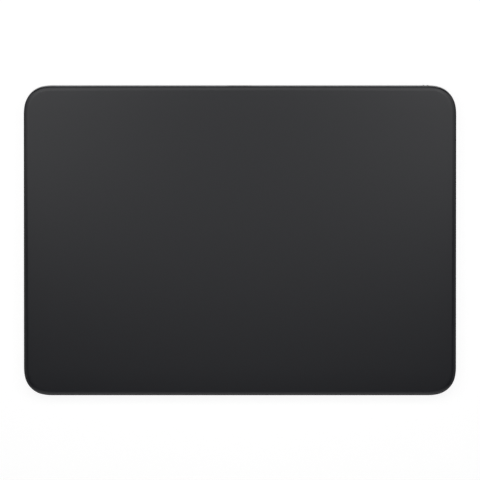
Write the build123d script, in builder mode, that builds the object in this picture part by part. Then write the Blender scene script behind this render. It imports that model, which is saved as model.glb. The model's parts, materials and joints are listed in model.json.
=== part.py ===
from build123d import *
from math import cos, radians, sin, tan
import os

# Slim wireless trackpad, in millimetres. +X is right, +Y is the rear edge, +Z is up.
# The origin is on the desk, under the middle of the footprint.
# A "drop" is a depth under the glass's top face, measured square to the glass.
# A "row" is a place along the glass, from its middle towards the rear edge.

os.makedirs("parts", exist_ok=True)

# Housing
width = 160.0
glass_length = 114.5
front_height = 4.95
glass_tilt = 3.0
corner_radius = 8.4
corner_ease_radius = 16.4
corner_ease_angle = 12.0
foot_height = 0.5
wall_thickness = 1.8
floor_thickness = 0.65
underside_chamfer = 0.4
rim_chamfer = 0.12
rim_gap = 0.35
overrun = 1.0

# Bottom cover and feet
cover_thickness = 0.45
cover_inset = 2.6
cover_gap = 0.12
cover_adhesive_thickness = 0.1
cover_adhesive_width = 9.0
foot_radius = 4.5
foot_chamfer = 0.15
foot_side_distance = 15.0
foot_end_distance = 14.0

# Touch stack
glass_thickness = 1.1
glass_edge_width = 1.2
glass_edge_drop = 0.3
glass_edge_blend = 4.0
glass_side_chamfer = 0.1
glass_under_chamfer = 0.12
glass_adhesive_thickness = 0.15
sensor_board_thickness = 0.6
stiffener_thickness = 0.4
stack_side_gap = 0.65
stiffener_inset = 3.0

# Travel of the glass
press_travel = 0.15
haptic_travel = 0.15

# Force sensing flexures
gel_pad_side = 4.4
gel_pad_thickness = 0.35
load_tab_side = 5.0
load_tab_thickness = 0.3
flexure_thickness = 0.45
flexure_length = 18.0
flexure_root_length = 6.0
flexure_root_width = 9.0
flexure_tip_length = 6.4
flexure_beam_width = 6.0
flexure_slot_length = 4.4
flexure_slot_width = 1.6
flexure_side_gap = 3.0
flexure_front_distance = 24.25
flexure_rear_distance = 24.0
gauge_thickness = 0.1
gauge_length = 2.2
gauge_width = 1.2
gauge_pitch = 3.6
seat_margin = 0.3

# Main board
board_thickness = 0.8
board_depth = 13.4
board_rear_gap = 0.5
board_side_gap = 3.5
board_seat_height = 0.5
board_corner_cut = 5.0
board_fillet = 1.0
board_seat_side = 3.2
board_seat_inset = 2.2
middle_seat_place = 14.0

# Parts on the main board
shield_gap = 1.0
shield_depth = 9.0
shield_height = 1.6
shield_sheet = 0.2
shield_fillet = 0.6
shield_chip_side = 5.0
shield_chip_height = 0.9
shield_chip_pitch = 6.4
power_chip_side = 3.0
power_chip_height = 0.7
power_chip_pitch = 5.0
power_chip_place = 44.0

# Charging port
port_inner_width = 8.34
port_inner_height = 2.56
port_shell_sheet = 0.3
port_shell_length = 7.35
port_recess = 0.45
port_hole_gap = 0.15
opening_chamfer = 0.15
tongue_width = 6.69
tongue_thickness = 0.7
tongue_setback = 0.9
tongue_base_thickness = 1.0
tongue_fillet = 0.3
contact_count = 12
contact_pitch = 0.5
contact_width = 0.25
contact_length = 3.2
contact_thickness = 0.05
contact_setback = 0.4
strap_gap = 0.05
strap_sheet = 0.3
strap_depth = 4.0
strap_wall_gap = 0.8
strap_ear_length = 3.4

# Power switch
switch_side_distance = 12.1
switch_travel = 1.6
switch_slot_length = 5.6
switch_slot_height = 1.5
switch_slot_wall = 1.0
knob_gap = 0.12
knob_setback = 0.1
knob_ridge_pitch = 1.5
knob_ridge_width = 0.55
knob_ridge_height = 0.4
flange_thickness = 0.5
flange_height = 2.6
flange_cover = 0.3
flange_gap = 0.15
pocket_gap = 0.25
indicator_thickness = 0.08
lever_width = 1.2
lever_height = 0.8
lever_reach = 1.4
lever_gap = 0.15
switch_housing_length = 8.4
switch_housing_depth = 3.8
switch_housing_fillet = 0.3

# Battery
battery_rear_gap = 1.2
battery_side_gap = 1.5
battery_fillet = 1.4
battery_edge_chamfer = 0.6
swell_gap = 0.3
battery_adhesive_thickness = 0.15
battery_adhesive_width = 14.0
battery_adhesive_inset = 8.0
battery_board_width = 4.2
battery_board_inset = 2.0
battery_board_height = 1.4
battery_board_gap = 0.2
cable_width = 3.8
cable_thickness = 0.2
cable_lap = 2.0
cable_inset = 4.4
connector_depth = 2.6
connector_height = 0.9
connector_margin = 0.6
connector_edge_gap = 0.5

# Antenna
antenna_length = 22.0
antenna_depth = 3.6
antenna_height = 1.2
antenna_fillet = 0.3
antenna_trace_thickness = 0.05
antenna_board_gap = 1.5
antenna_seat_inset = 3.0
antenna_trace_width = 0.5
antenna_tooth_pitch = 3.0
antenna_tooth_count = 6
coax_radius = 0.5
coax_run = 4.0
coax_plug_radius = 1.2
coax_plug_height = 1.1

# Haptic engine
haptic_setback = 2.65
haptic_gap = 2.5
haptic_depth = 17.0
haptic_length = 70.0
haptic_bracket_thickness = 0.4
haptic_seat_height = 0.3
haptic_seat_side = 4.2
haptic_fillet = 1.5
air_gap = 0.3
armature_thickness = 0.6
armature_length = 58.0
armature_depth = 10.0
armature_window_share = 0.35
pole_count = 4
pole_pitch = 14.0
pole_side = 7.6
core_base_thickness = 0.45
core_margin = 1.2
coil_gap = 0.15
coil_width = 2.4
coil_end_gap = 0.2
coil_fillet = 3.0

# Touch stack electronics
sensor_chip_side = 7.0
sensor_chip_height = 0.8
sensor_chip_pitch = 22.0
sensor_chip_count = 3
sensor_chip_distance = 22.0
window_margin = 1.0
flex_width = 12.0
flex_thickness = 0.12
flex_place = 30.0

# Places worked out from the sizes above
tilt = radians(glass_tilt)
rear_height = front_height + glass_length * sin(tilt)
wall_drop = (rear_height - foot_height) / cos(tilt)
depth = glass_length * cos(tilt) + wall_drop * sin(tilt)
glass_middle_y = glass_length * cos(tilt) / 2 - depth / 2
glass_middle_z = (front_height + rear_height) / 2
floor_level = foot_height + cover_thickness + cover_adhesive_thickness + floor_thickness
cover_top = foot_height + cover_thickness
recess_top = cover_top + cover_adhesive_thickness
through_drop = rear_height + overrun

glass_top = Plane(
    origin=(0, glass_middle_y, glass_middle_z),
    x_dir=(1, 0, 0),
    z_dir=(0, -sin(tilt), cos(tilt)),
)
glass_axis = Axis(glass_top.origin, glass_top.z_dir)
rear_face = Plane(
    origin=(0, depth / 2 - wall_drop * sin(tilt), rear_height),
    x_dir=(1, 0, 0),
    z_dir=(0, cos(tilt), sin(tilt)),
)
rear_axis = Axis(rear_face.origin, rear_face.z_dir)

rim_drop = glass_thickness + rim_gap
adhesive_drop = glass_thickness
sensor_drop = adhesive_drop + glass_adhesive_thickness
stiffener_drop = sensor_drop + sensor_board_thickness
stack_drop = stiffener_drop + stiffener_thickness
tab_drop = stack_drop + gel_pad_thickness
flexure_drop = tab_drop + load_tab_thickness
flexure_seat_drop = flexure_drop + flexure_thickness
inner_rear = glass_length / 2 - wall_thickness
inner_side = width / 2 - wall_thickness


def level(drop):
    """Plane parallel to the glass, this far under its top face."""
    return glass_top.offset(-drop)


def floor_drop(row):
    """Drop at which a line square to the glass meets the inner floor."""
    return (glass_middle_z + row * sin(tilt) - floor_level) / cos(tilt)


def desk_y(row, drop):
    """Y of a place given by its row and drop."""
    return glass_middle_y + row * cos(tilt) + drop * sin(tilt)


def desk_z(row, drop):
    """Z of a place given by its row and drop."""
    return glass_middle_z + row * sin(tilt) - drop * cos(tilt)


def row_at(y, drop):
    """Row of a place given by its Y and drop."""
    return (y - glass_middle_y - drop * sin(tilt)) / cos(tilt)


def corner_reach(inset=0.0):
    """Distance from the square corner to the point where the corner starts to turn."""
    ease = corner_ease_radius - inset
    turn = radians(corner_ease_angle)
    return ease - (corner_ease_radius - corner_radius) * (cos(turn) - sin(turn))


def housing_outline(inset):
    """The housing's outline, drawn in by inset: straight sides and three-arc corners."""
    reach = corner_reach(inset)
    side_run = glass_length - 2 * inset - 2 * reach
    end_run = width - 2 * inset - 2 * reach
    bend_angle = 90 - 2 * corner_ease_angle
    point = Vector(width / 2 - inset, -side_run / 2)
    heading = Vector(0, 1)
    with BuildSketch(Plane.XY) as outline:
        with BuildLine():
            for run in (side_run, end_run, side_run, end_run):
                side = Line(point, point + heading * run)
                lead_in = JernArc(side @ 1, heading, corner_ease_radius - inset, corner_ease_angle)
                bend = JernArc(lead_in @ 1, lead_in % 1, corner_radius - inset, bend_angle)
                lead_out = JernArc(bend @ 1, bend % 1, corner_ease_radius - inset, corner_ease_angle)
                point = lead_out @ 1
                heading = Vector(-heading.Y, heading.X)
        make_face()
    return outline.sketch


def level_slab(inset, low, high):
    """Solid of the housing's outline with faces level with the desk at two heights."""
    outline = housing_outline(inset)
    with BuildPart() as slab:
        with BuildSketch(glass_top):
            add(outline)
        extrude(amount=-through_drop)
        split(bisect_by=Plane.XY.offset(low), keep=Keep.TOP)
        split(bisect_by=Plane.XY.offset(high), keep=Keep.BOTTOM)
    return slab.part


def plate(drop, thickness, inset):
    """Sheet of the housing's outline, parallel to the glass."""
    outline = housing_outline(inset)
    with BuildPart() as sheet:
        with BuildSketch(level(drop)):
            add(outline)
        extrude(amount=-thickness)
    return sheet.part


def save(part, name):
    """Label a finished piece and write it."""
    part.label = name
    export_step(part, f"parts/{name}.step")


# Rows and places of the inner pieces
board_rear = inner_rear - board_rear_gap
board_front = board_rear - board_depth
board_middle = (board_rear + board_front) / 2
board_under_drop = floor_drop(board_front) - board_seat_height
board_top_drop = board_under_drop - board_thickness
board_right = inner_side - board_side_gap
antenna_left = corner_reach() - width / 2
antenna_right = antenna_left + antenna_length
board_left = antenna_right + antenna_board_gap

port_shell_width = port_inner_width + 2 * port_shell_sheet
port_shell_height = port_inner_height + 2 * port_shell_sheet
port_drop = board_top_drop - port_shell_height / 2

strap_outer_width = port_shell_width + 2 * strap_gap + 2 * strap_sheet
strap_ear_x = strap_outer_width / 2 + strap_ear_length / 2
strap_rear = inner_rear - strap_wall_gap
strap_middle = strap_rear - strap_depth / 2

flexure_tip_x = inner_side - flexure_side_gap - flexure_length
flexure_root_x = inner_side - flexure_side_gap - flexure_root_length / 2
flexure_front_row = flexure_front_distance - glass_length / 2
flexure_rear_row = glass_length / 2 - flexure_rear_distance

haptic_row = -haptic_setback
battery_rear_row = board_front - battery_rear_gap
battery_front_row = haptic_row + haptic_depth / 2 + haptic_gap
battery_depth = battery_rear_row - battery_front_row
battery_room = floor_drop(battery_front_row) - stack_drop
battery_adhesive_top = floor_level + battery_adhesive_thickness
battery_thickness = battery_room - press_travel - swell_gap - battery_adhesive_thickness
battery_board_end = battery_board_gap + battery_board_width
battery_length = 2 * (flexure_tip_x - battery_side_gap - battery_board_end)
battery_front_y = desk_y(battery_front_row, floor_drop(battery_front_row))
battery_middle_y = battery_front_y + battery_depth / 2
battery_board_x = -battery_length / 2 - battery_board_gap - battery_board_width / 2
battery_board_length = battery_depth - 2 * battery_board_inset

haptic_front_row = haptic_row - haptic_depth / 2
haptic_seat_drop = floor_drop(haptic_front_row) - haptic_seat_height
haptic_bracket_drop = haptic_seat_drop - haptic_bracket_thickness
core_top_drop = stack_drop + armature_thickness + air_gap + press_travel

board_seat_row = board_front + board_seat_inset
board_seat_places = [
    (board_left + board_seat_inset, board_seat_row),
    (middle_seat_place, board_seat_row),
    (board_right - board_seat_inset, board_seat_row),
    (-strap_ear_x, strap_middle),
    (strap_ear_x, strap_middle),
]
haptic_seat_x = (haptic_length - haptic_seat_side) / 2 - seat_margin
haptic_seat_row = (haptic_depth - haptic_seat_side) / 2 - seat_margin
haptic_seat_places = [
    (side * haptic_seat_x, haptic_row + end * haptic_seat_row)
    for side in (-1, 1)
    for end in (-1, 1)
]
flexure_places = [
    (side, row) for row in (flexure_front_row, flexure_rear_row) for side in (-1, 1)
]
tab_places = [
    (side * (flexure_tip_x + flexure_tip_length / 2), row) for side, row in flexure_places
]
antenna_row = board_rear - antenna_depth / 2
antenna_under_drop = board_top_drop - antenna_height
antenna_seat_places = [
    (antenna_left + antenna_seat_inset, antenna_row),
    (antenna_right - antenna_seat_inset, antenna_row),
]
foot_x = width / 2 - foot_side_distance
foot_y = depth / 2 - foot_end_distance
foot_places = {
    "foot_front_left": (-foot_x, -foot_y),
    "foot_front_right": (foot_x, -foot_y),
    "foot_rear_left": (-foot_x, foot_y),
    "foot_rear_right": (foot_x, foot_y),
}

switch_x = width / 2 - switch_side_distance
knob_x = switch_x + switch_travel / 2
knob_length = switch_slot_length - switch_travel - 2 * knob_gap
knob_height = switch_slot_height - 2 * knob_gap
pocket_row = glass_length / 2 - switch_slot_wall
flange_rear_row = pocket_row - flange_gap
flange_front_row = flange_rear_row - flange_thickness
flange_length = switch_slot_length + switch_travel + 2 * flange_cover
pocket_length = flange_length + switch_travel + 2 * pocket_gap
pocket_height = flange_height + 2 * pocket_gap
switch_housing_row = min(board_rear, flange_front_row - lever_gap)


# Enclosure: wedge with walls square to the glass and a floor level with the desk
cavity = level_slab(wall_thickness, floor_level, through_drop)
recess = level_slab(cover_inset, -overrun, recess_top)

with BuildPart() as floor_seats:
    with BuildSketch(level(flexure_seat_drop)):
        for side, row in flexure_places:
            with Locations((side * flexure_root_x, row)):
                Rectangle(flexure_root_length - 2 * seat_margin, flexure_root_width - 2 * seat_margin)
    extrude(amount=-through_drop)
    with BuildSketch(level(haptic_seat_drop)):
        with Locations(*haptic_seat_places):
            Rectangle(haptic_seat_side, haptic_seat_side)
    extrude(amount=-through_drop)
    with BuildSketch(level(board_under_drop)):
        with Locations(*board_seat_places):
            Rectangle(board_seat_side, board_seat_side)
    extrude(amount=-through_drop)
    with BuildSketch(level(board_top_drop)):
        with Locations(*antenna_seat_places):
            Rectangle(board_seat_side, antenna_depth)
    extrude(amount=-through_drop)
    split(bisect_by=Plane.XY.offset(floor_level - floor_thickness / 2), keep=Keep.TOP)

rim_outline = housing_outline(0)
with BuildPart() as enclosure:
    with BuildSketch(level(rim_drop)):
        add(rim_outline)
    extrude(amount=-through_drop)
    split(bisect_by=Plane.XY.offset(foot_height), keep=Keep.TOP)
    chamfer(enclosure.faces().sort_by(Axis.Z)[0].outer_wire().edges(), underside_chamfer)
    chamfer(enclosure.faces().sort_by(glass_axis)[-1].outer_wire().edges(), rim_chamfer)
    add(cavity, mode=Mode.SUBTRACT)
    add(recess, mode=Mode.SUBTRACT)
    add(floor_seats.part)
    with BuildSketch(rear_face):
        with Locations((0, port_drop)):
            SlotOverall(port_shell_width + 2 * port_hole_gap, port_shell_height + 2 * port_hole_gap)
        with Locations((switch_x, port_drop)):
            SlotOverall(switch_slot_length, switch_slot_height)
    extrude(amount=-(wall_thickness + overrun), mode=Mode.SUBTRACT)
    for opening in enclosure.faces().sort_by(rear_axis)[-1].inner_wires():
        chamfer(opening.edges(), opening_chamfer)
    with BuildSketch(rear_face.offset(-switch_slot_wall)):
        with Locations((switch_x, port_drop)):
            Rectangle(pocket_length, pocket_height)
    extrude(amount=-wall_thickness, mode=Mode.SUBTRACT)
save(enclosure.part, "enclosure")


# Bottom cover: plate let into the underside, held by a frame of thin tape
cover_sheet = level_slab(cover_inset + cover_gap, foot_height, cover_top)
save(cover_sheet, "bottom_cover")

tape_sheet = level_slab(cover_inset + cover_gap, cover_top, recess_top)
tape_window = level_slab(cover_inset + cover_adhesive_width, foot_height, floor_level)
with BuildPart() as cover_adhesive:
    add(tape_sheet)
    add(tape_window, mode=Mode.SUBTRACT)
save(cover_adhesive.part, "cover_adhesive")


# Feet: rubber discs under the cover
for name, place in foot_places.items():
    with BuildPart() as foot:
        with BuildSketch(Plane.XY):
            with Locations(place):
                Circle(foot_radius)
        extrude(amount=foot_height)
        chamfer(foot.edges().sort_by(Axis.Z)[0], foot_chamfer)
    save(foot.part, name)


# Touch glass: rounded outline with a softly curved polished edge
glass_outline = housing_outline(0)
with BuildPart() as touch_glass:
    with BuildSketch(glass_top):
        add(glass_outline)
    extrude(amount=-glass_thickness)
    top_edges = touch_glass.faces().sort_by(glass_axis)[-1].outer_wire().edges()
    chamfer(top_edges, glass_edge_drop, glass_edge_width)
    chamfer(touch_glass.edges().group_by(glass_axis)[-3], glass_side_chamfer)
    fillet(touch_glass.faces().sort_by(glass_axis)[-1].outer_wire().edges(), glass_edge_blend)
    under_edges = touch_glass.faces().sort_by(glass_axis)[0].outer_wire().edges()
    chamfer(under_edges, glass_under_chamfer)
save(touch_glass.part, "touch_glass")


# Glass adhesive, sensor board and stiffener, one under the other
stack_inset = wall_thickness + stack_side_gap + haptic_travel
save(plate(adhesive_drop, glass_adhesive_thickness, stack_inset), "glass_adhesive")
save(plate(sensor_drop, sensor_board_thickness, stack_inset), "sensor_board")

sensor_chip_row = sensor_chip_distance + sensor_chip_side - glass_length / 2
chip_window = sensor_chip_side + 2 * window_margin
connector_row = board_front + connector_edge_gap + connector_depth / 2
connector_drop = board_top_drop - connector_height
fold_radius = (connector_drop - stiffener_drop) / 2
fold_row = connector_row + connector_depth / 2
flex_window_depth = connector_depth + fold_radius + 2 * window_margin
flex_window_row = connector_row + fold_radius / 2
stiffener_sheet = plate(stiffener_drop, stiffener_thickness, stiffener_inset)
with BuildPart() as stiffener_plate:
    add(stiffener_sheet)
    with BuildSketch(level(stiffener_drop)):
        with Locations((0, sensor_chip_row)):
            with GridLocations(sensor_chip_pitch, 0, sensor_chip_count, 1):
                Rectangle(chip_window, chip_window)
        with Locations((flex_place, flex_window_row)):
            Rectangle(flex_width + 2 * window_margin, flex_window_depth)
    extrude(amount=-stiffener_thickness, mode=Mode.SUBTRACT)
save(stiffener_plate.part, "stiffener_plate")

with BuildPart() as sensor_chips:
    with BuildSketch(level(stiffener_drop)):
        with Locations((0, sensor_chip_row)):
            with GridLocations(sensor_chip_pitch, 0, sensor_chip_count, 1):
                Rectangle(sensor_chip_side, sensor_chip_side)
    extrude(amount=-sensor_chip_height)
save(sensor_chips.part, "sensor_chips")


# Force suspension: gel pads, load tabs, flexures and their strain gauges
with BuildPart() as gel_pads:
    with BuildSketch(level(stack_drop)):
        with Locations(*tab_places):
            Rectangle(gel_pad_side, gel_pad_side)
    extrude(amount=-gel_pad_thickness)
save(gel_pads.part, "gel_pads")

with BuildPart() as load_tabs:
    with BuildSketch(level(tab_drop)):
        with Locations(*tab_places):
            Rectangle(load_tab_side, load_tab_side)
    extrude(amount=-load_tab_thickness)
save(load_tabs.part, "load_tabs")

flexure_root_offset = (flexure_length - flexure_root_length) / 2
flexure_slot_offset = flexure_root_offset - flexure_root_length / 2 - flexure_slot_length / 2
for number, (side, row) in enumerate(flexure_places, start=1):
    flexure_x = side * (flexure_tip_x + flexure_length / 2)
    with BuildPart() as flexure:
        with BuildSketch(level(flexure_drop)):
            with Locations((flexure_x, row)):
                Rectangle(flexure_length, flexure_beam_width)
            with Locations((side * flexure_root_x, row)):
                Rectangle(flexure_root_length, flexure_root_width)
            with Locations((flexure_x + side * flexure_slot_offset, row)):
                SlotOverall(flexure_slot_length, flexure_slot_width, mode=Mode.SUBTRACT)
        extrude(amount=-flexure_thickness)
    save(flexure.part, f"force_flexure_{number}")

gauge_x = flexure_tip_x + flexure_length / 2 + flexure_slot_offset
gauge_places = [(side * gauge_x, row) for side, row in flexure_places]
with BuildPart() as strain_gauges:
    with BuildSketch(level(flexure_drop)):
        with Locations(*gauge_places):
            with GridLocations(0, gauge_pitch, 1, 2):
                Rectangle(gauge_length, gauge_width)
    extrude(amount=gauge_thickness)
save(strain_gauges.part, "strain_gauges")


# Haptic engine: bracket, laminated core with poles, windings and the armature on the stiffener
with BuildPart() as haptic_bracket:
    with BuildSketch(level(haptic_bracket_drop)):
        with Locations((0, haptic_row)):
            RectangleRounded(haptic_length, haptic_depth, haptic_fillet)
    extrude(amount=-haptic_bracket_thickness)
save(haptic_bracket.part, "haptic_bracket")

core_length = (pole_count - 1) * pole_pitch + pole_side + 2 * core_margin
core_depth = pole_side + 2 * core_margin
core_base_drop = haptic_bracket_drop - core_base_thickness
with BuildPart() as haptic_core:
    with BuildSketch(level(haptic_bracket_drop)):
        with Locations((0, haptic_row)):
            Rectangle(core_length, core_depth)
    extrude(amount=core_base_thickness)
    with BuildSketch(level(core_base_drop)):
        with Locations((0, haptic_row)):
            with GridLocations(pole_pitch, 0, pole_count, 1):
                Rectangle(pole_side, pole_side)
    extrude(amount=core_base_drop - core_top_drop)
save(haptic_core.part, "haptic_core")

coil_inner = pole_side + 2 * coil_gap
coil_outer = coil_inner + 2 * coil_width
with BuildPart() as haptic_coils:
    with BuildSketch(level(core_base_drop)):
        with Locations((0, haptic_row)):
            with GridLocations(pole_pitch, 0, pole_count, 1):
                RectangleRounded(coil_outer, coil_outer, coil_fillet)
                Rectangle(coil_inner, coil_inner, mode=Mode.SUBTRACT)
    extrude(amount=core_base_drop - core_top_drop - coil_end_gap)
save(haptic_coils.part, "haptic_coils")

armature_window = pole_pitch * armature_window_share
with BuildPart() as haptic_armature:
    with BuildSketch(level(stack_drop)):
        with Locations((0, haptic_row)):
            RectangleRounded(armature_length, armature_depth, haptic_fillet)
            with GridLocations(pole_pitch, 0, pole_count - 1, 1):
                Rectangle(armature_window, pole_side, mode=Mode.SUBTRACT)
    extrude(amount=-armature_thickness)
save(haptic_armature.part, "haptic_armature")


# Main board and what is on it
with BuildPart() as main_board:
    with BuildSketch(level(board_top_drop)) as board_shape:
        with BuildLine():
            Polyline(
                (board_left, board_front),
                (board_right, board_front),
                (board_right, board_rear - board_corner_cut),
                (board_right - board_corner_cut, board_rear),
                (board_left, board_rear),
                close=True,
            )
        make_face()
        fillet(board_shape.vertices(), board_fillet)
    extrude(amount=-board_thickness)
save(main_board.part, "main_board")

cable_x = board_left + cable_inset + connector_margin + cable_width / 2
cable_connector_end = cable_x + cable_width / 2 + connector_margin
shield_left = cable_connector_end + shield_gap
shield_right = -(strap_outer_width / 2 + strap_ear_length + shield_gap)
shield_length = shield_right - shield_left
shield_x = (shield_left + shield_right) / 2

with BuildPart() as shield_can:
    with BuildSketch(level(board_top_drop)):
        with Locations((shield_x, board_middle)):
            RectangleRounded(shield_length, shield_depth, shield_fillet)
    extrude(amount=shield_height)
    with BuildSketch(level(board_top_drop)):
        with Locations((shield_x, board_middle)):
            Rectangle(shield_length - 2 * shield_sheet, shield_depth - 2 * shield_sheet)
    extrude(amount=shield_height - shield_sheet, mode=Mode.SUBTRACT)
save(shield_can.part, "shield_can")

with BuildPart() as board_chips:
    with BuildSketch(level(board_top_drop)):
        with Locations((shield_x, board_middle)):
            with GridLocations(shield_chip_pitch, 0, 2, 1):
                Rectangle(shield_chip_side, shield_chip_side)
    extrude(amount=shield_chip_height)
    with BuildSketch(level(board_top_drop)):
        with Locations((power_chip_place, board_middle)):
            with GridLocations(power_chip_pitch, power_chip_pitch, 2, 2):
                Rectangle(power_chip_side, power_chip_side)
    extrude(amount=power_chip_height)
save(board_chips.part, "board_chips")

with BuildPart() as board_connectors:
    with BuildSketch(level(board_top_drop)):
        with Locations((cable_x, connector_row)):
            Rectangle(cable_width + 2 * connector_margin, connector_depth)
        with Locations((flex_place, connector_row)):
            Rectangle(flex_width + 2 * connector_margin, connector_depth)
    extrude(amount=connector_height)
save(board_connectors.part, "board_connectors")


# Charging port: drawn shell, contact tongue, contacts and hold-down strap
with BuildPart() as usb_port_shell:
    with BuildSketch(rear_face.offset(-port_recess)):
        with Locations((0, port_drop)):
            SlotOverall(port_shell_width, port_shell_height)
    extrude(amount=-port_shell_length)
    with BuildSketch(rear_face.offset(-port_recess)):
        with Locations((0, port_drop)):
            SlotOverall(port_inner_width, port_inner_height)
    extrude(amount=-(port_shell_length - tongue_base_thickness), mode=Mode.SUBTRACT)
save(usb_port_shell.part, "usb_port_shell")

tongue_root = port_recess + port_shell_length - tongue_base_thickness
tongue_length = tongue_root - port_recess - tongue_setback
with BuildPart() as usb_port_tongue:
    with BuildSketch(rear_face.offset(-tongue_root)):
        with Locations((0, port_drop)):
            Rectangle(tongue_width, tongue_thickness)
    extrude(amount=tongue_length)
    tip = usb_port_tongue.faces().sort_by(rear_axis)[-1]
    fillet(tip.edges().filter_by(glass_axis), tongue_fillet)
save(usb_port_tongue.part, "usb_port_tongue")

contact_row_pitch = tongue_thickness + contact_thickness
with BuildPart() as usb_port_contacts:
    with BuildSketch(rear_face.offset(-(port_recess + tongue_setback + contact_setback))):
        with Locations((0, port_drop)):
            with GridLocations(contact_pitch, contact_row_pitch, contact_count, 2):
                Rectangle(contact_width, contact_thickness)
    extrude(amount=-contact_length)
save(usb_port_contacts.part, "usb_port_contacts")

with BuildPart() as port_bracket:
    with BuildSketch(rear_face.offset(strap_rear - glass_length / 2)):
        with Locations((0, port_drop)):
            SlotOverall(strap_outer_width, port_shell_height + 2 * strap_gap + 2 * strap_sheet)
            Rectangle(strap_outer_width, port_shell_height, align=(Align.CENTER, Align.MIN))
        with Locations((0, board_top_drop)):
            Rectangle(
                strap_outer_width + 2 * strap_ear_length,
                strap_sheet,
                align=(Align.CENTER, Align.MAX),
            )
            Rectangle(
                strap_outer_width + overrun,
                port_shell_height,
                align=(Align.CENTER, Align.MIN),
                mode=Mode.SUBTRACT,
            )
        with Locations((0, port_drop)):
            SlotOverall(
                port_shell_width + 2 * strap_gap,
                port_shell_height + 2 * strap_gap,
                mode=Mode.SUBTRACT,
            )
            Rectangle(
                port_shell_width + 2 * strap_gap,
                port_shell_height,
                align=(Align.CENTER, Align.MIN),
                mode=Mode.SUBTRACT,
            )
    extrude(amount=-strap_depth)
save(port_bracket.part, "port_bracket")


# Power switch: knob with its flange, green strip and lever, and the switch body on the board
knob_start = glass_length / 2 - knob_setback
with BuildPart() as switch_knob:
    with BuildSketch(rear_face.offset(flange_rear_row - glass_length / 2)):
        with Locations((knob_x, port_drop)):
            Rectangle(flange_length, flange_height)
    extrude(amount=-flange_thickness)
    with BuildSketch(rear_face.offset(flange_rear_row - glass_length / 2)):
        with Locations((knob_x, port_drop)):
            RectangleRounded(knob_length, knob_height, knob_height / 2 - knob_gap)
    extrude(amount=knob_start - flange_rear_row)
    with BuildSketch(rear_face.offset(-knob_setback)):
        with Locations((knob_x, port_drop)):
            with GridLocations(knob_ridge_pitch, 0, 2, 1):
                SlotOverall(knob_height - 2 * knob_gap, knob_ridge_width, rotation=90)
    extrude(amount=knob_ridge_height)
save(switch_knob.part, "switch_knob")

indicator_length = switch_travel + flange_cover
with BuildPart() as switch_indicator:
    with BuildSketch(rear_face.offset(flange_rear_row - glass_length / 2)):
        with Locations((knob_x - knob_length / 2 - knob_gap - indicator_length / 2, port_drop)):
            Rectangle(indicator_length, switch_slot_height + flange_cover)
    extrude(amount=indicator_thickness)
save(switch_indicator.part, "switch_indicator")

with BuildPart() as switch_lever:
    with BuildSketch(rear_face.offset(flange_front_row - glass_length / 2)):
        with Locations((knob_x, port_drop)):
            Rectangle(lever_width, lever_height)
    extrude(amount=-(flange_front_row - switch_housing_row + lever_reach))
save(switch_lever.part, "switch_lever")

switch_housing_height = 2 * (board_top_drop - port_drop)
lever_slot_length = lever_width + switch_travel + 2 * lever_gap
with BuildPart() as switch_housing:
    with BuildSketch(rear_face.offset(switch_housing_row - glass_length / 2)):
        with Locations((switch_x, port_drop)):
            Rectangle(switch_housing_length, switch_housing_height)
    extrude(amount=-switch_housing_depth)
    fillet(switch_housing.edges().filter_by(glass_axis), switch_housing_fillet)
    with BuildSketch(rear_face.offset(switch_housing_row - glass_length / 2)):
        with Locations((switch_x, port_drop)):
            Rectangle(lever_slot_length, lever_height + 2 * lever_gap)
    extrude(amount=-(lever_reach + lever_gap), mode=Mode.SUBTRACT)
save(switch_housing.part, "switch_housing")


# Battery: pouch cell, its tape, protection board and flat cable
with BuildPart() as battery:
    with BuildSketch(Plane.XY.offset(battery_adhesive_top)):
        with Locations((0, battery_middle_y)):
            RectangleRounded(battery_length, battery_depth, battery_fillet)
    extrude(amount=battery_thickness)
    chamfer(battery.faces().sort_by(Axis.Z)[-1].edges(), battery_edge_chamfer)
save(battery.part, "battery")

tape_x = battery_length / 2 - battery_adhesive_inset - battery_adhesive_width / 2
tape_length = battery_depth - 2 * battery_fillet
with BuildPart() as battery_adhesive:
    with BuildSketch(Plane.XY.offset(floor_level)):
        with Locations((-tape_x, battery_middle_y), (tape_x, battery_middle_y)):
            Rectangle(battery_adhesive_width, tape_length)
        with Locations((battery_board_x, battery_middle_y)):
            Rectangle(battery_board_width, battery_board_length)
    extrude(amount=battery_adhesive_thickness)
save(battery_adhesive.part, "battery_adhesive")

with BuildPart() as battery_board:
    with BuildSketch(Plane.XY.offset(battery_adhesive_top)):
        with Locations((battery_board_x, battery_middle_y)):
            Rectangle(battery_board_width, battery_board_length)
    extrude(amount=battery_board_height)
    fillet(battery_board.faces().sort_by(Axis.Z)[-1].edges(), battery_board_gap)
save(battery_board.part, "battery_board")


cable_row = row_at(battery_middle_y + battery_board_length / 2 - cable_lap, connector_drop)
with BuildPart() as battery_cable:
    with BuildSketch(level(connector_drop)):
        with Locations((battery_board_x, (cable_row + connector_row) / 2)):
            Rectangle(cable_width, connector_row - cable_row + connector_depth)
        with Locations(((battery_board_x + cable_x) / 2, connector_row)):
            Rectangle(cable_x - battery_board_x + cable_width, connector_depth)
    extrude(amount=cable_thickness)
    with BuildSketch(level(connector_drop)):
        with Locations((battery_board_x, cable_row)):
            Rectangle(cable_width - 2 * connector_margin, cable_lap)
    extrude(amount=-connector_drop)
    split(bisect_by=Plane.XY.offset(battery_adhesive_top + battery_board_height), keep=Keep.TOP)
save(battery_cable.part, "battery_cable")


# Antenna: carrier on two seats, its printed trace and the coax to the main board
with BuildPart() as antenna:
    with BuildSketch(level(board_top_drop)):
        with Locations(((antenna_left + antenna_right) / 2, antenna_row)):
            Rectangle(antenna_length, antenna_depth)
    extrude(amount=antenna_height)
    fillet(antenna.edges().filter_by(glass_axis), antenna_fillet)
save(antenna.part, "antenna")

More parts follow.
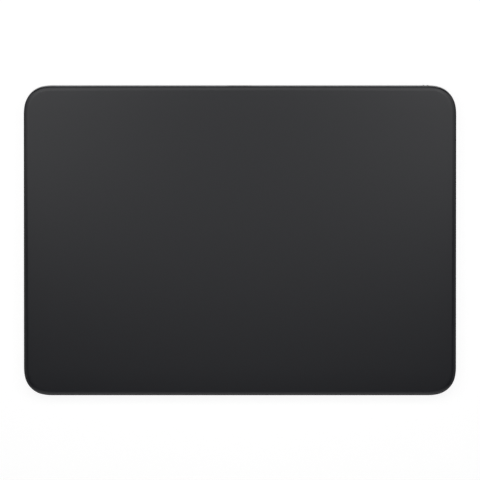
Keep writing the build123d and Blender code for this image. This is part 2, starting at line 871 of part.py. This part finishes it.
antenna_middle = (antenna_left + antenna_right) / 2
trace_margin = antenna_fillet + antenna_trace_width
with BuildPart() as antenna_trace:
    with BuildSketch(level(antenna_under_drop)):
        with Locations((antenna_middle, antenna_row - antenna_depth / 2 + trace_margin)):
            Rectangle(antenna_length - 2 * trace_margin, antenna_trace_width)
        with Locations((antenna_middle, antenna_row)):
            with GridLocations(antenna_tooth_pitch, 0, antenna_tooth_count, 1):
                Rectangle(antenna_trace_width, antenna_depth - 2 * trace_margin)
    extrude(amount=antenna_trace_thickness)
save(antenna_trace.part, "antenna_trace")

coax_length = antenna_board_gap + coax_run
coax_drop = board_top_drop - coax_radius
coax_start = level(coax_drop).from_local_coords((antenna_right, antenna_row))
with BuildPart() as antenna_cable:
    with BuildSketch(Plane(coax_start, z_dir=(1, 0, 0))):
        Circle(coax_radius)
    extrude(amount=coax_length)
    with BuildSketch(level(board_top_drop)):
        with Locations((antenna_right + coax_length, antenna_row)):
            Circle(coax_plug_radius)
    extrude(amount=coax_plug_height)
save(antenna_cable.part, "antenna_cable")


# Touch flex: flat cable folded from the sensor board down to the main board
with BuildPart() as touch_flex:
    with BuildSketch(Plane.YZ.offset(flex_place - flex_width / 2)):
        with BuildLine():
            upper = Line(
                (desk_y(connector_row, stiffener_drop), desk_z(connector_row, stiffener_drop)),
                (desk_y(fold_row, stiffener_drop), desk_z(fold_row, stiffener_drop)),
            )
            fold = JernArc(upper @ 1, upper % 1, fold_radius, -180)
            lower = Line(fold @ 1, fold @ 1 + (fold % 1) * connector_depth)
            offset(amount=flex_thickness, side=Side.RIGHT, closed=True)
        make_face()
    extrude(amount=flex_width)
save(touch_flex.part, "touch_flex")
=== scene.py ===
import json
from collections import namedtuple
from math import atan, cos, pi, radians, sin

import bmesh
import bpy
from mathutils import Matrix, Vector


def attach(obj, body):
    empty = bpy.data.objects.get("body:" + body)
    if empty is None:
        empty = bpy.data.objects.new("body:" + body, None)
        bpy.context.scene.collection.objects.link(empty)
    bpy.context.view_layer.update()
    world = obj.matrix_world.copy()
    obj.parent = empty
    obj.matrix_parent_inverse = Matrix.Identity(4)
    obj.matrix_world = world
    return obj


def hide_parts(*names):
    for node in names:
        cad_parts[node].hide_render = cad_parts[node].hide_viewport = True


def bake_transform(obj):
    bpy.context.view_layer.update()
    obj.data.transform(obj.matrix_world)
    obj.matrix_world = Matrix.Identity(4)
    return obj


# Slim wireless trackpad in metres, in the CAD frame: +X right, +Y the rear edge, +Z up.

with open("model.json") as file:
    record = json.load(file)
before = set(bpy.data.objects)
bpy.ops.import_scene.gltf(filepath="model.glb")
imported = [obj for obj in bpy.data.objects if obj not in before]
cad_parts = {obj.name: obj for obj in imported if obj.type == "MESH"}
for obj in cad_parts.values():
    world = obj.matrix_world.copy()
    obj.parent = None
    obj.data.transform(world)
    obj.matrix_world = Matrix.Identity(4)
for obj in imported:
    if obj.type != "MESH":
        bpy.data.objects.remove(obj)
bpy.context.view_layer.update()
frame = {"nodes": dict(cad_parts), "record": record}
nodes = frame["nodes"]
scene = bpy.context.scene

# Outline and place of the glass, as the CAD model has them
WIDTH = 0.160
GLASS_LENGTH = 0.1145
GLASS_TILT = radians(3.0)
GLASS_THICKNESS = 0.0011
FRONT_HEIGHT = 0.00495
FOOT_HEIGHT = 0.0005
CORNER_RADIUS = 0.0084
CORNER_EASE_RADIUS = 0.0164
CORNER_EASE_ANGLE = radians(12.0)
CORNER_LEAST = 0.0012
ARC_STEPS = 12
EASE_STEPS = 3

# Edge of the glass from below: a small bevel and a rounded side. Where its arc ends is found in a
# few turns, with the slope measured over the probe's length.
UNDER_BEVEL = 0.00010
UNDER_RINGS = 2
SIDE_RADIUS = 0.00022
SIDE_RINGS = 5
SHOULDER_TURNS = 20
SLOPE_PROBE = 0.00010

# Top of the glass from its edge inwards: a steeper lip, a slope that blends into the top and a slight crown
LIP_SLOPE = 0.26
LIP_WIDTH = 0.0007
LIP_RINGS = 4
SLOPE = 0.18
SLOPE_END = 0.0011
BLEND_END = 0.0019
BLEND_RINGS = 8
CROWN_DROP = 0.00030
CROWN_WIDTH = 0.010
CROWN_RINGS = 8

# Touch flex in glass coordinates: film that folds from under the sensor board down to its connector
FILM_LEFT = 0.024
FILM_RIGHT = 0.036
FILM_THICKNESS = 0.00012
FILM_TOP = -0.001853
FILM_BOTTOM = -0.006232
FILM_FOLD = 0.04465
FILM_TOP_END = 0.04335
FILM_BOTTOM_END = 0.04205
FOLD_STEPS = 24

# Finish of each slot in the record. The grain size and the bump height are in metres, and the tone
# change is the share by which the grain makes the colour darker or lighter. A metal's edge tone is
# the tint of its reflections at a grazing view.
Finish = namedtuple("Finish", "colour metallic roughness grain_size tone_change bump_height")
FINISHES = {
    "housing_metal": Finish((0.56, 0.565, 0.575), 1.0, 0.36, 0.00012, 0.04, 0.000004),
    "foot_rubber": Finish((0.20, 0.20, 0.205), 0.0, 0.62, 0.00030, 0.10, 0.000012),
    "clear_tape": Finish((0.05, 0.05, 0.055), 0.0, 0.45, 0.00080, 0.08, 0.000006),
    "board": Finish((0.015, 0.09, 0.045), 0.0, 0.38, 0.00060, 0.14, 0.000008),
    "chip_plastic": Finish((0.022, 0.022, 0.024), 0.0, 0.52, 0.00020, 0.10, 0.000006),
    "spring_steel": Finish((0.52, 0.52, 0.53), 1.0, 0.30, 0.00050, 0.06, 0.000003),
    "plated_steel": Finish((0.66, 0.655, 0.64), 1.0, 0.22, 0.00070, 0.05, 0.000002),
    "port_plastic": Finish((0.016, 0.016, 0.018), 0.0, 0.40, 0.00030, 0.10, 0.000004),
    "contact_gold": Finish((0.83, 0.60, 0.24), 1.0, 0.20, 0.00020, 0.05, 0.000001),
    "copper_wire": Finish((0.68, 0.30, 0.13), 1.0, 0.32, 0.00030, 0.16, 0.000010),
    "knob_plastic": Finish((0.44, 0.445, 0.455), 1.0, 0.34, 0.00012, 0.04, 0.000003),
    "indicator_green": Finish((0.03, 0.50, 0.10), 0.0, 0.30, 0.00040, 0.06, 0.000002),
    "cell_foil": Finish((0.045, 0.045, 0.05), 0.2, 0.34, 0.00250, 0.18, 0.000040),
    "flex_film": Finish((0.36, 0.16, 0.03), 0.0, 0.28, 0.00060, 0.12, 0.000004),
    "gel_rubber": Finish((0.42, 0.42, 0.43), 0.0, 0.50, 0.00050, 0.08, 0.000010),
}
METAL_EDGE = (0.10, 0.10, 0.10)

# Noise in the finishes: its middle range is spread out, and the gloss changes in larger clouds
NOISE_RANGE = (0.3, 0.7)
GRAIN_DETAIL = 3.0
CLOUD_DETAIL = 2.0
CLOUD_SCALE = 60
GLOSS_CHANGE = 0.08

# Painted shade in the port's hole: its walls are darkened where shade falls, in a box round the port's
# mouth that is given by its half sizes
PORT_HOLE_SHADE_TONE = (0.03, 0.03, 0.031)
PORT_HOLE_SHADE_HALF = (0.00477, 0.00044, 0.00188)

# Fine matt glass with a polished falling edge and a black coat on its side
GLASS_TONE = (0.0058, 0.0066, 0.0100)
GLASS_TONE_CHANGE = 0.05
GLASS_ROUGHNESS = 0.40
POLISH_ROUGHNESS = 0.22
GLASS_GRAIN = 0.00009
GLASS_BUMP = 0.0000008
GLASS_IOR = 1.5
GLASS_INDEX, COAT_INDEX = 0, 1
COAT_TONE_CHANGE = 0.10
COAT_ROUGHNESS = (0.60, 0.75)
COAT_BUMP = 0.000001

# Copper traces along the film: their edges as shares of the pitch
TRACE_PITCH = 0.0005
TRACE_EDGE_SHARES = (0.24, 0.30)
TRACE_TONE = (0.62, 0.33, 0.10)
FILM_GLOSS_CHANGE = 0.10

# Sockets of Blender's colour mix node
MIX_INPUTS = (0, 6, 7)
MIX_RESULT = 2

# Camera straight above the trackpad, aimed a little behind its middle
PIXELS_PER_METRE = 2702.0
PICTURE_WIDTH = 480
LENS = 900.0
SENSOR = 36.0
CLIP_END = 100.0
AIM_Y = 0.00009

# Floor and surroundings: the backdrop turns from white at the low height to grey at the high one
WHITE = (1.0, 1.0, 1.0)
FLOOR_HALF = 12.0
FLOOR_GAP = 0.00002
FLOOR_TONE = (0.32, 0.32, 0.32)
FLOOR_ROUGHNESS = 0.9
FLOOR_GLOW = 0.83
WORLD_LIGHT = 0.06
BACKDROP_LIGHT = 1.0
HORIZON_LOW = 0.20
HORIZON_HIGH = 0.40

# Lamps close above the glass: one large, a small one near its front and one at each side
TOP_SIZE = (0.26, 0.29)
TOP_PLACE = (0.0, 0.095, 0.208)
TOP_WATTS = 0.175
NEAR_SIZE = (0.10, 0.12)
NEAR_PLACE = (0.0, -0.07, 0.206)
NEAR_WATTS = 0.0068
SIDE_SIZE = (0.13, 0.12)
SIDE_X, SIDE_Y, SIDE_Z = 0.120, 0.062, 0.204
SIDE_WATTS = 0.056

# Lamps round the trackpad: a strip at each side, a rim light and a wide one in front, and one behind
STRIP_SIZE = (0.12, 0.40)
STRIP_X, STRIP_Y, STRIP_Z = 0.275, -0.05, 0.25
STRIP_WATTS = 0.09
RIM_SIZE = (0.50, 0.08)
RIM_PLACE = (0.0, -0.26, 0.31)
RIM_TILT = radians(37.0)
RIM_WATTS = 0.05
FRONT_SIZE = (1.6, 0.3)
FRONT_PLACE = (0.0, -0.8, 0.75)
FRONT_TILT = radians(47.0)
FRONT_WATTS = 1.9
REAR_SIZE = (0.9, 0.06)
REAR_PLACE = (0.0, 0.17, 0.31)
REAR_TILT = radians(-22.0)
REAR_WATTS = 0.15


# Helpers for node trees

def new_material(name):
    """New material with its node tree and its main shader."""
    material = bpy.data.materials.new(name)
    material.use_nodes = True
    tree = material.node_tree
    tree.nodes.clear()
    output = tree.nodes.new("ShaderNodeOutputMaterial")
    shader = tree.nodes.new("ShaderNodeBsdfPrincipled")
    tree.links.new(shader.outputs["BSDF"], output.inputs["Surface"])
    return material, tree, shader


def feed(tree, value, socket):
    """Links an output to a socket, or writes a number or an opaque colour into it."""
    if isinstance(value, bpy.types.NodeSocket):
        tree.links.new(value, socket)
    elif isinstance(value, tuple):
        socket.default_value = (*value, 1.0)
    else:
        socket.default_value = value


def calculate(tree, operation, *values):
    """Result of a Math node on these values."""
    node = tree.nodes.new("ShaderNodeMath")
    node.operation = operation
    for value, socket in zip(values, node.inputs):
        feed(tree, value, socket)
    return node.outputs["Value"]


def map_range(tree, value, source, target=(0.0, 1.0)):
    """The value, mapped from one range to the other and kept inside it."""
    node = tree.nodes.new("ShaderNodeMapRange")
    names = ("From Min", "From Max", "To Min", "To Max")
    for name, number in zip(names, (*source, *target)):
        node.inputs[name].default_value = number
    tree.links.new(value, node.inputs["Value"])
    return node.outputs["Result"]


def mix_colours(tree, share, first, second):
    """Colour that turns from the first into the second with the share."""
    node = tree.nodes.new("ShaderNodeMix")
    node.data_type = "RGBA"
    for value, number in zip((share, first, second), MIX_INPUTS):
        feed(tree, value, node.inputs[number])
    return node.outputs[MIX_RESULT]


def own_coordinates(tree):
    """Coordinates of the object that the material is on."""
    return tree.nodes.new("ShaderNodeTexCoord").outputs["Object"]


def split(tree, vector):
    """The three outputs X, Y and Z of a vector."""
    node = tree.nodes.new("ShaderNodeSeparateXYZ")
    tree.links.new(vector, node.inputs["Vector"])
    return node.outputs


def grain(tree, size, detail=GRAIN_DETAIL):
    """Noise of this grain size, from the object's own coordinates."""
    noise = tree.nodes.new("ShaderNodeTexNoise")
    noise.inputs["Scale"].default_value = 1 / size
    noise.inputs["Detail"].default_value = detail
    tree.links.new(own_coordinates(tree), noise.inputs["Vector"])
    return noise.outputs["Fac"]


def tones(tree, noise, colour, change):
    """Colour that turns from a darker to a lighter tone with the noise."""
    ramp = tree.nodes.new("ShaderNodeValToRGB")
    dark, light = ramp.color_ramp.elements
    dark.position, light.position = NOISE_RANGE
    dark.color = [c * (1 - change) for c in colour] + [1.0]
    light.color = [min(1.0, c * (1 + change)) for c in colour] + [1.0]
    tree.links.new(noise, ramp.inputs["Fac"])
    return ramp.outputs["Color"]


def gloss(tree, noise, roughness, change):
    """Roughness that changes by this share with the noise."""
    return map_range(tree, noise, NOISE_RANGE, (roughness * (1 - change), roughness * (1 + change)))


def bump(tree, shader, value, height):
    """Bumps the shader's surface by this height."""
    relief = tree.nodes.new("ShaderNodeBump")
    relief.inputs["Distance"].default_value = height
    tree.links.new(value, relief.inputs["Height"])
    tree.links.new(relief.outputs["Normal"], shader.inputs["Normal"])


# Materials of the trackpad

def port_hole_shade_mask(tree):
    """Mask of the painted shade in the port's hole: 1 on its walls near its outer end, otherwise 0."""
    mounts = {mount["name"]: mount for mount in frame["record"]["mounts"]}
    mouth = Vector(mounts["charging_port"]["pos_m"])
    level = tree.nodes.new("ShaderNodeMapping")
    level.inputs["Rotation"].default_value = (-GLASS_TILT, 0.0, 0.0)
    level.inputs["Location"].default_value = -(Matrix.Rotation(-GLASS_TILT, 3, "X") @ mouth)
    tree.links.new(own_coordinates(tree), level.inputs["Vector"])
    axes = split(tree, level.outputs["Vector"])
    inside = 1.0
    for axis, half in zip(axes, PORT_HOLE_SHADE_HALF):
        near = calculate(tree, "LESS_THAN", calculate(tree, "ABSOLUTE", axis), half)
        inside = calculate(tree, "MULTIPLY", inside, near)
    return inside


def finish_material(name, finish):
    """Material of one finish, with grain in its colour and bump and clouds in its gloss."""
    material, tree, shader = new_material(name)
    shader.inputs["Metallic"].default_value = finish.metallic
    if finish.metallic == 1.0:
        feed(tree, METAL_EDGE, shader.inputs["Specular Tint"])
    fine = grain(tree, finish.grain_size)
    cloud = grain(tree, finish.grain_size * CLOUD_SCALE, CLOUD_DETAIL)
    colour = tones(tree, fine, finish.colour, finish.tone_change)
    if name == "housing_metal":
        # Painted shade: the walls of the port's hole are darkened in the housing's colour
        colour = mix_colours(tree, port_hole_shade_mask(tree), colour, PORT_HOLE_SHADE_TONE)
    tree.links.new(colour, shader.inputs["Base Color"])
    tree.links.new(gloss(tree, cloud, finish.roughness, GLOSS_CHANGE), shader.inputs["Roughness"])
    bump(tree, shader, fine, finish.bump_height)
    return material


def coat_material():
    """Black coat on the side of the glass."""
    material, tree, shader = new_material("glass_side")
    shader.inputs["Specular IOR Level"].default_value = 0.0
    fine = grain(tree, GLASS_GRAIN)
    tree.links.new(tones(tree, fine, GLASS_TONE, COAT_TONE_CHANGE), shader.inputs["Base Color"])
    tree.links.new(map_range(tree, fine, NOISE_RANGE, COAT_ROUGHNESS), shader.inputs["Roughness"])
    bump(tree, shader, fine, COAT_BUMP)
    return material


def glass_material():
    """Fine matt black glass; its falling edge is polished."""
    material, tree, shader = new_material("black_glass")
    shader.inputs["IOR"].default_value = GLASS_IOR
    fine = grain(tree, GLASS_GRAIN)
    tree.links.new(tones(tree, fine, GLASS_TONE, GLASS_TONE_CHANGE), shader.inputs["Base Color"])
    polish = tree.nodes.new("ShaderNodeAttribute")
    polish.attribute_name = "polish"
    roughness = map_range(tree, polish.outputs["Fac"], (0.0, 1.0), (GLASS_ROUGHNESS, POLISH_ROUGHNESS))
    tree.links.new(roughness, shader.inputs["Roughness"])
    bump(tree, shader, fine, GLASS_BUMP)
    return material


def film_material():
    """Amber film with fine copper traces along it."""
    finish = FINISHES["flex_film"]
    material, tree, shader = new_material("flex_traces")
    across = split(tree, own_coordinates(tree))["X"]
    wave = calculate(tree, "PINGPONG", across, TRACE_PITCH / 2)
    trace = map_range(tree, wave, [TRACE_PITCH * share for share in TRACE_EDGE_SHARES])
    fine = grain(tree, finish.grain_size)
    colour = mix_colours(tree, trace, tones(tree, fine, finish.colour, finish.tone_change), TRACE_TONE)
    tree.links.new(colour, shader.inputs["Base Color"])
    tree.links.new(gloss(tree, fine, finish.roughness, FILM_GLOSS_CHANGE), shader.inputs["Roughness"])
    bump(tree, shader, trace, finish.bump_height)
    return material


# Pieces made here

def add_object(name, mesh, *materials):
    """New object of the scene from this bmesh, which is freed, and these materials."""
    data = bpy.data.meshes.new(name)
    mesh.to_mesh(data)
    mesh.free()
    for material in materials:
        data.materials.append(material)
    thing = bpy.data.objects.new(name, data)
    scene.collection.objects.link(thing)
    return thing


def pairs(ring):
    """Each item of a closed ring with the next one."""
    return zip(ring, ring[1:] + ring[:1])


def outline(inset):
    """Points of the housing's outline, drawn in by inset: a wide, a tight and a wide arc per corner."""
    lead = CORNER_EASE_RADIUS - CORNER_RADIUS
    bend = max(CORNER_RADIUS - inset, CORNER_LEAST)
    ease = bend + lead
    turn = CORNER_EASE_ANGLE
    reach = ease - lead * (cos(turn) - sin(turn))
    half_x, half_y = WIDTH / 2 - inset, GLASS_LENGTH / 2 - inset
    first = Vector((half_x - ease, half_y - reach))
    middle = first + lead * Vector((cos(turn), sin(turn)))
    last = middle + lead * Vector((-sin(turn), -cos(turn)))
    arcs = (
        (first, ease, 0.0, turn, EASE_STEPS),
        (middle, bend, turn, pi / 2 - turn, ARC_STEPS),
        (last, ease, pi / 2 - turn, pi / 2, EASE_STEPS),
    )
    corner = []
    for centre, radius, start, end, steps in arcs:
        for step in range(steps):
            angle = start + (end - start) * step / steps
            corner.append(centre + radius * Vector((cos(angle), sin(angle))))
    corner.append(last + Vector((0.0, ease)))
    points = list(corner)
    points += [Vector((-p.x, p.y)) for p in reversed(corner)]
    points += [Vector((-p.x, -p.y)) for p in corner]
    points += [Vector((p.x, -p.y)) for p in reversed(corner)]
    return points


def glass_matrix():
    """From glass coordinates, z square to its top face, to the CAD frame."""
    rear_height = FRONT_HEIGHT + GLASS_LENGTH * sin(GLASS_TILT)
    wall_drop = (rear_height - FOOT_HEIGHT) / cos(GLASS_TILT)
    depth = GLASS_LENGTH * cos(GLASS_TILT) + wall_drop * sin(GLASS_TILT)
    middle_y = GLASS_LENGTH * cos(GLASS_TILT) / 2 - depth / 2
    middle_z = (FRONT_HEIGHT + rear_height) / 2
    return Matrix.Translation((0, middle_y, middle_z)) @ Matrix.Rotation(GLASS_TILT, 4, "X")


def fall(inset):
    """How far the top of the glass lies under its highest plane at this inset."""
    blend = min(max((inset - SLOPE_END) / (BLEND_END - SLOPE_END), 0.0), 1.0)
    eased = (BLEND_END - SLOPE_END) / 2 * (1 - blend - sin(pi * blend) / pi)
    straight = max(SLOPE_END - inset, 0.0)
    lip = LIP_SLOPE * LIP_WIDTH / 2 * max(1 - inset / LIP_WIDTH, 0.0) ** 2
    crown = CROWN_DROP * max(1 - inset / CROWN_WIDTH, 0.0) ** 2
    return SLOPE * (straight + eased) + lip + crown


def shoulder():
    """Angle of the rounded side's arc, from level to square with the slope, and the inset there."""
    turn = pi / 2
    for _ in range(SHOULDER_TURNS):
        inset = SIDE_RADIUS * (1 - cos(turn))
        steep = (fall(inset) - fall(inset + SLOPE_PROBE)) / SLOPE_PROBE
        turn = atan(1 / steep)
    return turn, inset


def glass_rings():
    """Inset, drop and polish of each ring of the glass, from the underside round the edge to the top."""
    end, reach = shoulder()
    centre = fall(reach) + SIDE_RADIUS * sin(end)
    rings = [(UNDER_BEVEL, GLASS_THICKNESS, 1.0), (0.0, GLASS_THICKNESS - UNDER_BEVEL, 1.0)]
    for step in range(SIDE_RINGS + 1):
        turn = end * step / SIDE_RINGS
        rings.append((SIDE_RADIUS * (1 - cos(turn)), centre - SIDE_RADIUS * sin(turn), 1.0))
    for step in range(1, LIP_RINGS + 1):
        inset = reach + (SLOPE_END - reach) * step / LIP_RINGS
        rings.append((inset, fall(inset), 1.0))
    for step in range(1, BLEND_RINGS + 1):
        share = step / BLEND_RINGS
        inset = SLOPE_END + (BLEND_END - SLOPE_END) * share
        rings.append((inset, fall(inset), 1 - share))
    for step in range(1, CROWN_RINGS + 1):
        inset = BLEND_END + (CROWN_WIDTH - BLEND_END) * step / CROWN_RINGS
        rings.append((inset, fall(inset), 0.0))
    return rings


def add_rings(mesh):
    """Adds the vertices of the glass with their polish, ring by ring."""
    polish = mesh.verts.layers.float.new("polish")
    place = glass_matrix()
    rings = []
    for inset, drop, share in glass_rings():
        ring = [mesh.verts.new(place @ Vector((point.x, point.y, -drop))) for point in outline(inset)]
        for vertex in ring:
            vertex[polish] = share
        rings.append(ring)
    return rings


def make_glass():
    """Glass plate with a softly falling edge and a black coat on its side."""
    mesh = bmesh.new()
    rings = add_rings(mesh)
    coated_bands = UNDER_RINGS + SIDE_RINGS - 1
    for band, (lower, upper) in enumerate(zip(rings, rings[1:])):
        for (left, right), (upper_left, upper_right) in zip(pairs(lower), pairs(upper)):
            face = mesh.faces.new((left, right, upper_right, upper_left))
            face.material_index = COAT_INDEX if band < coated_bands else GLASS_INDEX
    mesh.faces.new(reversed(rings[0]))
    mesh.faces.new(rings[-1])
    for face in mesh.faces:
        face.smooth = True
    for ring in rings[:UNDER_RINGS]:
        for pair in pairs(ring):
            mesh.edges.get(pair).smooth = False
    glass = add_object("glass_plate", mesh, glass_material(), coat_material())
    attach(glass, "touch_plate")
    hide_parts("touch_glass")


def film_line(inset):
    """Row and height of points on the film from its upper end round the fold to its lower end."""
    top, bottom = FILM_TOP - inset, FILM_BOTTOM + inset
    middle, radius = (top + bottom) / 2, (top - bottom) / 2
    line = [(FILM_TOP_END, top)]
    for step in range(FOLD_STEPS + 1):
        angle = pi / 2 - pi * step / FOLD_STEPS
        line.append((FILM_FOLD + radius * cos(angle), middle + radius * sin(angle)))
    line.append((FILM_BOTTOM_END, bottom))
    return line


def make_film():
    """Touch flex film that folds from its upper end round down to its lower end at the connector."""
    mesh = bmesh.new()
    place = glass_matrix()
    loops = []
    for (row, height), (inner_row, inner_height) in zip(film_line(0.0), film_line(FILM_THICKNESS)):
        corners = (
            (FILM_LEFT, row, height), (FILM_RIGHT, row, height),
            (FILM_RIGHT, inner_row, inner_height), (FILM_LEFT, inner_row, inner_height),
        )
        loops.append([mesh.verts.new(place @ Vector(corner)) for corner in corners])
    for one, two in zip(loops, loops[1:]):
        for (left, right), (next_left, next_right) in zip(pairs(one), pairs(two)):
            mesh.faces.new((left, next_left, next_right, right))
    mesh.faces.new(loops[0])
    mesh.faces.new(reversed(loops[-1]))
    bmesh.ops.recalc_face_normals(mesh, faces=mesh.faces)
    film = add_object("touch_flex_film", mesh, film_material())
    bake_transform(film)
    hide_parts("touch_flex")


def dress_nodes():
    """Gives every CAD node the material of its slot in the record."""
    made = {name: finish_material(name, finish) for name, finish in FINISHES.items()}
    made["black_glass"] = bpy.data.materials["black_glass"]
    for part in frame["record"]["subparts"]:
        node = nodes[part["node"]]
        node.data.materials.clear()
        node.data.materials.append(made[part["material_slot"]])


# Studio

def seen(tree):
    """1 for rays of the camera and for mirrored or refracted rays, otherwise 0."""
    rays = tree.nodes.new("ShaderNodeLightPath")
    value = rays.outputs["Is Camera Ray"]
    for name in ("Is Glossy Ray", "Is Transmission Ray"):
        value = calculate(tree, "MAXIMUM", value, rays.outputs[name])
    return value


def floor_material():
    """Pale floor that holds the object's shadow, with white added for the camera and for reflections."""
    material, tree, shader = new_material("studio_floor")
    feed(tree, FLOOR_TONE, shader.inputs["Base Color"])
    feed(tree, FLOOR_ROUGHNESS, shader.inputs["Roughness"])
    feed(tree, 0.0, shader.inputs["Specular IOR Level"])
    feed(tree, WHITE, shader.inputs["Emission Color"])
    feed(tree, calculate(tree, "MULTIPLY", seen(tree), FLOOR_GLOW), shader.inputs["Emission Strength"])
    return material


def make_floor():
    """Wide plain floor, a hair below the feet."""
    mesh = bmesh.new()
    sides = ((-1, -1), (1, -1), (1, 1), (-1, 1))
    mesh.faces.new([mesh.verts.new((x * FLOOR_HALF, y * FLOOR_HALF, -FLOOR_GAP)) for x, y in sides])
    add_object("studio_floor", mesh, floor_material())


def make_world():
    """Weak light from all sides; the backdrop low round the object is seen and mirrored as white."""
    world = bpy.data.worlds.new("studio")
    scene.world = world
    world.use_nodes = True
    tree = world.node_tree
    tree.nodes.clear()
    output = tree.nodes.new("ShaderNodeOutputWorld")
    mix = tree.nodes.new("ShaderNodeMixShader")
    tree.links.new(mix.outputs["Shader"], output.inputs["Surface"])
    for strength, socket in zip((WORLD_LIGHT, BACKDROP_LIGHT), mix.inputs[1:]):
        background = tree.nodes.new("ShaderNodeBackground")
        feed(tree, WHITE, background.inputs["Color"])
        feed(tree, strength, background.inputs["Strength"])
        tree.links.new(background.outputs["Background"], socket)
    direction = tree.nodes.new("ShaderNodeTexCoord").outputs["Generated"]
    share = map_range(tree, split(tree, direction)["Z"], (HORIZON_HIGH, HORIZON_LOW))
    tree.links.new(calculate(tree, "MULTIPLY", share, seen(tree)), mix.inputs["Fac"])


def lamp(name, size, place, watts, tilt=0.0):
    """Soft light that the camera doesn't see. It looks down, and its tilt turns it towards the rear."""
    data = bpy.data.lights.new(name, "AREA")
    data.shape = "RECTANGLE"
    data.size, data.size_y = size
    data.energy = watts
    light = bpy.data.objects.new(name, data)
    light.location = place
    light.rotation_euler = (tilt, 0.0, 0.0)
    light.visible_camera = False
    scene.collection.objects.link(light)


def make_lights():
    """Lamps close above the glass, at different heights where they overlap, and round the trackpad."""
    lamp("top_light", TOP_SIZE, TOP_PLACE, TOP_WATTS)
    lamp("near_light", NEAR_SIZE, NEAR_PLACE, NEAR_WATTS)
    lamp("left_light", SIDE_SIZE, (-SIDE_X, SIDE_Y, SIDE_Z), SIDE_WATTS)
    lamp("right_light", SIDE_SIZE, (SIDE_X, SIDE_Y, SIDE_Z), SIDE_WATTS)
    lamp("left_strip", STRIP_SIZE, (-STRIP_X, STRIP_Y, STRIP_Z), STRIP_WATTS)
    lamp("right_strip", STRIP_SIZE, (STRIP_X, STRIP_Y, STRIP_Z), STRIP_WATTS)
    lamp("rim_light", RIM_SIZE, RIM_PLACE, RIM_WATTS, RIM_TILT)
    lamp("front_light", FRONT_SIZE, FRONT_PLACE, FRONT_WATTS, FRONT_TILT)
    lamp("rear_light", REAR_SIZE, REAR_PLACE, REAR_WATTS, REAR_TILT)


def make_camera():
    """Camera looking straight down, with the rear edge at the top of the picture."""
    data = bpy.data.cameras.new("camera")
    data.lens = LENS
    data.sensor_width = SENSOR
    data.clip_end = CLIP_END
    camera = bpy.data.objects.new("camera", data)
    scene.collection.objects.link(camera)
    glass_height = glass_matrix().translation.z
    distance = PICTURE_WIDTH / PIXELS_PER_METRE * LENS / SENSOR
    camera.location = (0.0, AIM_Y, glass_height + distance)
    scene.camera = camera


make_glass()
make_film()
dress_nodes()
make_floor()
make_world()
make_lights()
make_camera()
scene.view_settings.view_transform = "Standard"
